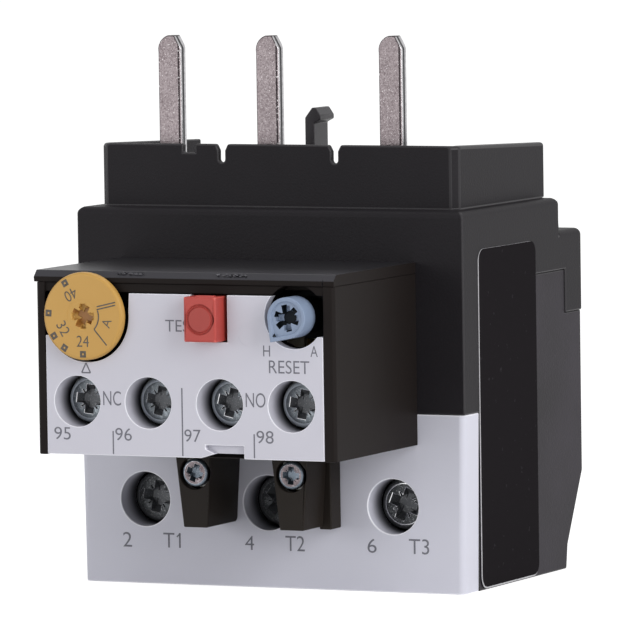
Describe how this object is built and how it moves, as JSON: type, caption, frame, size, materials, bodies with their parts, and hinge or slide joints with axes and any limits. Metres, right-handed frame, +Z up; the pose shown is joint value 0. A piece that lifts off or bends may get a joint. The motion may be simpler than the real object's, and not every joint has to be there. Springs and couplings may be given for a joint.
{
  "type": "thermal overload relay",
  "caption": "Thermal overload relay that plugs under a contactor: setting dial, test button, reset knob, screw terminals and an inner trip mechanism.",
  "frame": {"origin": "bottom centre of the whole relay: middle plane of the body, half-way from the button faces to the rear foot, on the base", "axes": "+X to the right seen from the front, +Y towards the rear foot, +Z up along the contactor prongs"},
  "size_m": [0.06, 0.072, 0.0776],
  "materials": {
    "black_housing": "fine moulded grain, satin",
    "black_hook": "satin moulding",
    "black_case": "satin moulding",
    "black_lid": "smooth, slightly glossy",
    "black_block": "satin moulding",
    "grey_cover": "satin light grey",
    "grey_plate": "satin light grey",
    "tinned_prong": "tinned, speckled satin",
    "terminal_brass": "plated conductor",
    "heater_ribbon": "resistance ribbon",
    "bimetal": "rolled strip",
    "zinc_cage": "zinc plated",
    "dark_screw": "dark chromated steel",
    "aux_dark_screw": "dark chromated steel",
    "zinc_washer": "zinc plated",
    "contact_brass": "bare strip",
    "bright_screw": "nickel plated",
    "inner_plastic": "natural moulding",
    "ochre_dial": "satin ochre moulding",
    "cam_plastic": "satin moulding",
    "red_button": "satin red moulding",
    "blue_knob": "satin grey-blue moulding",
    "plunger_plastic": "satin moulding",
    "spring_steel": "drawn wire"
  },
  "bodies": {
    "housing": {"upper_housing": "black_housing", "rear_housing": "black_housing", "terminal_cover": "grey_cover", "retaining_hook": "black_hook", "head_case": "black_case", "head_lid": "black_lid", "front_plate": "grey_plate", "test_spring": "spring_steel", "reset_spring": "spring_steel", "contact_prong_1": "tinned_prong", "heater_winding_1": "heater_ribbon", "bimetal_strip_1": "bimetal", "terminal_bar_1": "terminal_brass", "contact_prong_2": "tinned_prong", "heater_winding_2": "heater_ribbon", "bimetal_strip_2": "bimetal", "terminal_bar_2": "terminal_brass", "contact_prong_3": "tinned_prong", "heater_winding_3": "heater_ribbon", "bimetal_strip_3": "bimetal", "terminal_bar_3": "terminal_brass", "aux_terminal_1": "contact_brass", "aux_terminal_2": "contact_brass", "aux_terminal_3": "contact_brass", "aux_terminal_4": "contact_brass", "feed_block_1": "black_block", "feed_strip_1": "contact_brass", "feed_block_2": "black_block", "feed_strip_2": "contact_brass"},
    "screw_1": {"terminal_screw_1": "dark_screw"},
    "cage_1": {"clamp_cage_1": "zinc_cage"},
    "screw_2": {"terminal_screw_2": "dark_screw"},
    "cage_2": {"clamp_cage_2": "zinc_cage"},
    "screw_3": {"terminal_screw_3": "dark_screw"},
    "cage_3": {"clamp_cage_3": "zinc_cage"},
    "washer_1": {"aux_washer_1": "zinc_washer"},
    "aux_screw_1": {"aux_screw_1": "aux_dark_screw"},
    "washer_2": {"aux_washer_2": "zinc_washer"},
    "aux_screw_2": {"aux_screw_2": "aux_dark_screw"},
    "washer_3": {"aux_washer_3": "zinc_washer"},
    "aux_screw_3": {"aux_screw_3": "aux_dark_screw"},
    "washer_4": {"aux_washer_4": "zinc_washer"},
    "aux_screw_4": {"aux_screw_4": "aux_dark_screw"},
    "feed_clamp_1": {"feed_clamp_1": "zinc_washer"},
    "feed_screw_1": {"feed_screw_1": "bright_screw"},
    "feed_clamp_2": {"feed_clamp_2": "zinc_washer"},
    "feed_screw_2": {"feed_screw_2": "bright_screw"},
    "dial": {"setting_dial": "ochre_dial", "setting_cam": "cam_plastic"},
    "button": {"test_button": "red_button"},
    "lever": {"trip_lever": "inner_plastic", "compensation_strip": "bimetal"},
    "carrier": {"contact_carrier": "inner_plastic", "nc_bridge": "contact_brass", "no_bridge": "contact_brass"},
    "plunger": {"reset_plunger": "plunger_plastic"},
    "knob": {"reset_knob": "blue_knob"},
    "trip_slide": {"trip_slide": "inner_plastic"},
    "differential_slide": {"differential_slide": "inner_plastic"}
  },
  "joints": [
    {"name": "screw_turn_1", "type": "hinge", "parent": "housing", "child": "screw_1", "pos_m": [-0.01983, -0.00245, 0.01204], "axis": [0, 1, 0], "range_deg": [0, 1440]},
    {"name": "cage_slide_1", "type": "slide", "parent": "housing", "child": "cage_1", "axis": [0, -1, 0], "range_m": [0, 0.004]},
    {"name": "screw_turn_2", "type": "hinge", "parent": "housing", "child": "screw_2", "pos_m": [-0.0005, -0.00245, 0.01204], "axis": [0, 1, 0], "range_deg": [0, 1440]},
    {"name": "cage_slide_2", "type": "slide", "parent": "housing", "child": "cage_2", "axis": [0, -1, 0], "range_m": [0, 0.004]},
    {"name": "screw_turn_3", "type": "hinge", "parent": "housing", "child": "screw_3", "pos_m": [0.01883, -0.00245, 0.01204], "axis": [0, 1, 0], "range_deg": [0, 1440]},
    {"name": "cage_slide_3", "type": "slide", "parent": "housing", "child": "cage_3", "axis": [0, -1, 0], "range_m": [0, 0.004]},
    {"name": "washer_slide_1", "type": "slide", "parent": "housing", "child": "washer_1", "axis": [0, 1, 0], "range_m": [0, 0.0024]},
    {"name": "aux_screw_turn_1", "type": "hinge", "parent": "washer_1", "child": "aux_screw_1", "pos_m": [-0.01659, -0.02965, 0.0283], "axis": [0, 1, 0], "range_deg": [0, 1440]},
    {"name": "washer_slide_2", "type": "slide", "parent": "housing", "child": "washer_2", "axis": [0, 1, 0], "range_m": [0, 0.0024]},
    {"name": "aux_screw_turn_2", "type": "hinge", "parent": "washer_2", "child": "aux_screw_2", "pos_m": [-0.00566, -0.02965, 0.0283], "axis": [0, 1, 0], "range_deg": [0, 1440]},
    {"name": "washer_slide_3", "type": "slide", "parent": "housing", "child": "washer_3", "axis": [0, 1, 0], "range_m": [0, 0.0024]},
    {"name": "aux_screw_turn_3", "type": "hinge", "parent": "washer_3", "child": "aux_screw_3", "pos_m": [0.00526, -0.02965, 0.0283], "axis": [0, 1, 0], "range_deg": [0, 1440]},
    {"name": "washer_slide_4", "type": "slide", "parent": "housing", "child": "washer_4", "axis": [0, 1, 0], "range_m": [0, 0.0024]},
    {"name": "aux_screw_turn_4", "type": "hinge", "parent": "washer_4", "child": "aux_screw_4", "pos_m": [0.0162, -0.02965, 0.0283], "axis": [0, 1, 0], "range_deg": [0, 1440]},
    {"name": "feed_clamp_slide_1", "type": "slide", "parent": "housing", "child": "feed_clamp_1", "axis": [0, 1, 0], "range_m": [0, 0.002]},
    {"name": "feed_screw_turn_1", "type": "hinge", "parent": "feed_clamp_1", "child": "feed_screw_1", "pos_m": [-0.00725, -0.01605, 0.017], "axis": [0, 1, 0], "range_deg": [0, 1440]},
    {"name": "feed_clamp_slide_2", "type": "slide", "parent": "housing", "child": "feed_clamp_2", "axis": [0, 1, 0], "range_m": [0, 0.002]},
    {"name": "feed_screw_turn_2", "type": "hinge", "parent": "feed_clamp_2", "child": "feed_screw_2", "pos_m": [0.00765, -0.01605, 0.017], "axis": [0, 1, 0], "range_deg": [0, 1440]},
    {"name": "dial_turn", "type": "hinge", "parent": "housing", "child": "dial", "pos_m": [-0.01495, -0.03475, 0.0402], "axis": [0, -1, 0], "range_deg": [0, 152]},
    {"name": "test_press", "type": "slide", "parent": "housing", "child": "button", "axis": [0, 1, 0], "range_m": [0, 0.002], "stiffness_N_per_m": 300, "springref_m": -0.001, "deforming": ["test_spring"]},
    {"name": "lever_turn", "type": "hinge", "parent": "housing", "child": "lever", "pos_m": [-0.01, -0.01445, 0.0424], "axis": [0, 0, 1], "range_deg": [0, 8.6]},
    {"name": "carrier_slide", "type": "slide", "parent": "housing", "child": "carrier", "axis": [0, 1, 0], "range_m": [0, 0.0015]},
    {"name": "reset_press", "type": "slide", "parent": "housing", "child": "plunger", "axis": [0, 1, 0], "range_m": [0, 0.0021], "stiffness_N_per_m": 300, "springref_m": -0.001, "deforming": ["reset_spring"]},
    {"name": "reset_turn", "type": "hinge", "parent": "plunger", "child": "knob", "pos_m": [0.0167, -0.03595, 0.0406], "axis": [0, -1, 0], "range_deg": [0, 90]},
    {"name": "trip_slide_move", "type": "slide", "parent": "housing", "child": "trip_slide", "axis": [-1, 0, 0], "range_m": [0, 0.0012]},
    {"name": "differential_slide_move", "type": "slide", "parent": "housing", "child": "differential_slide", "axis": [-1, 0, 0], "range_m": [0, 0.0012]}
  ],
  "couplings": [
    {"joint": "screw_turn_1", "follows": "cage_slide_1", "rad_per_m": 6283.2},
    {"joint": "screw_turn_2", "follows": "cage_slide_2", "rad_per_m": 6283.2},
    {"joint": "screw_turn_3", "follows": "cage_slide_3", "rad_per_m": 6283.2},
    {"joint": "aux_screw_turn_1", "follows": "washer_slide_1", "rad_per_m": 10472},
    {"joint": "aux_screw_turn_2", "follows": "washer_slide_2", "rad_per_m": 10472},
    {"joint": "aux_screw_turn_3", "follows": "washer_slide_3", "rad_per_m": 10472},
    {"joint": "aux_screw_turn_4", "follows": "washer_slide_4", "rad_per_m": 10472},
    {"joint": "feed_screw_turn_1", "follows": "feed_clamp_slide_1", "rad_per_m": 12566},
    {"joint": "feed_screw_turn_2", "follows": "feed_clamp_slide_2", "rad_per_m": 12566},
    {"joint": "lever_turn", "follows": "test_press", "rad_per_m": 73.5},
    {"joint": "carrier_slide", "follows": "test_press", "ratio": 0.75},
    {"joint": "differential_slide_move", "follows": "trip_slide_move", "ratio": 1}
  ]
}
